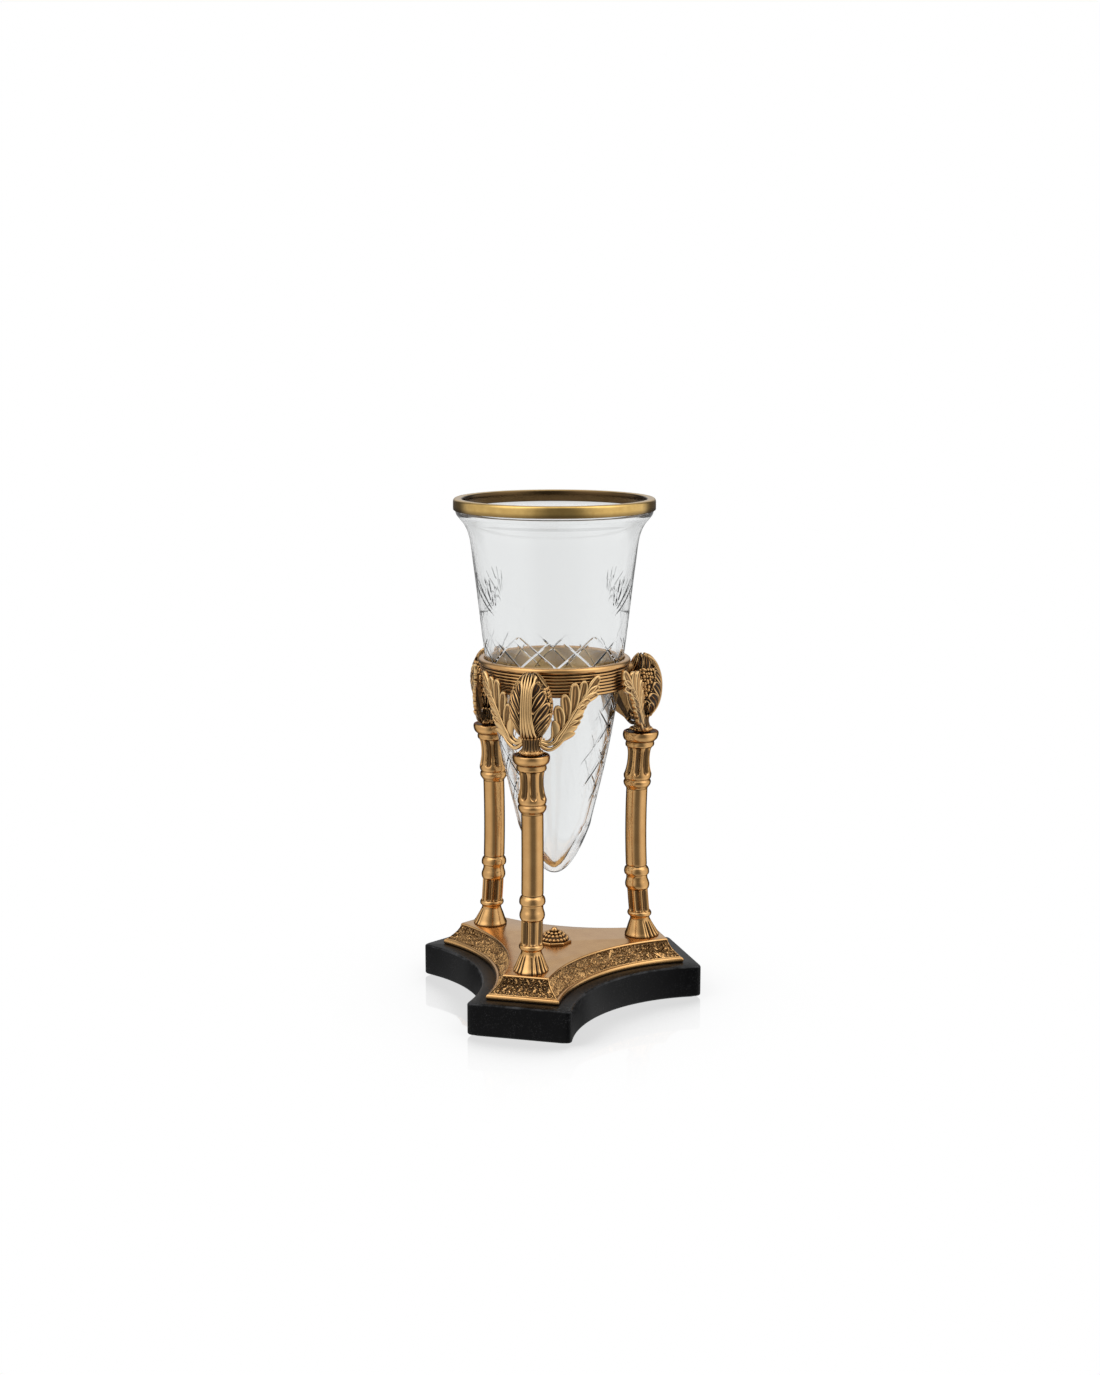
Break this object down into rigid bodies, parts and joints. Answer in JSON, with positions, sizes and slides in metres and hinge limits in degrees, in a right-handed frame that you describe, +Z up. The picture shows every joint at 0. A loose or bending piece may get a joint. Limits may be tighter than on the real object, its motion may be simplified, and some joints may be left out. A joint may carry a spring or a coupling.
{
  "type": "glass vase on tripod stand",
  "caption": "Conical cut-glass vase with a brass rim, seated in the reeded collar of a brass tripod with hoof feet, fluted legs, leaf sprays and buds, on a hollow-sided black stone plinth.",
  "frame": {"origin": "on the vertical axis of the glass, at the underside of the felt that the vase stands on", "axes": "+Z up along the axis of the glass, -Y towards the front leg, +X to the right of someone facing that leg"},
  "size_m": [0.2062, 0.1786, 0.3525],
  "materials": {
    "brass": "satin antique brass with dark patina in the recesses",
    "rim_brass": "polished brass strip, slightly dulled",
    "stone": "honed black stone with fine pale specks",
    "glass": "clear cut crystal glass",
    "felt": "pressed wool felt",
    "steel": "zinc-plated steel fasteners"
  },
  "bodies": {
    "stand": {"felt_pad": "felt", "stone_plinth": "stone", "base_plate": "brass", "centre_rosette": "brass", "centre_bolt": "steel", "centre_washer": "steel", "collar_ring": "brass", "leg_foot_front": "brass", "leg_tube_front": "brass", "leg_capital_front": "brass", "leg_bolt_front": "steel", "leg_washer_front": "steel", "bud_stud_front": "steel", "bud_front": "brass", "collar_screw_front": "brass", "leaf_spray_front_1": "brass", "leaf_spray_front_2": "brass", "leg_foot_right": "brass", "leg_tube_right": "brass", "leg_capital_right": "brass", "leg_bolt_right": "steel", "leg_washer_right": "steel", "bud_stud_right": "steel", "bud_right": "brass", "collar_screw_right": "brass", "leaf_spray_right_1": "brass", "leaf_spray_right_2": "brass", "leg_foot_left": "brass", "leg_tube_left": "brass", "leg_capital_left": "brass", "leg_bolt_left": "steel", "leg_washer_left": "steel", "bud_stud_left": "steel", "bud_left": "brass", "collar_screw_left": "brass", "leaf_spray_left_1": "brass", "leaf_spray_left_2": "brass"},
    "glass": {"glass_cone": "glass", "rim_band": "rim_brass"}
  },
  "joints": [
    {"name": "glass_lift", "type": "slide", "parent": "stand", "child": "glass", "axis": [0, 0, 1], "range_m": [0, 0.165]}
  ]
}
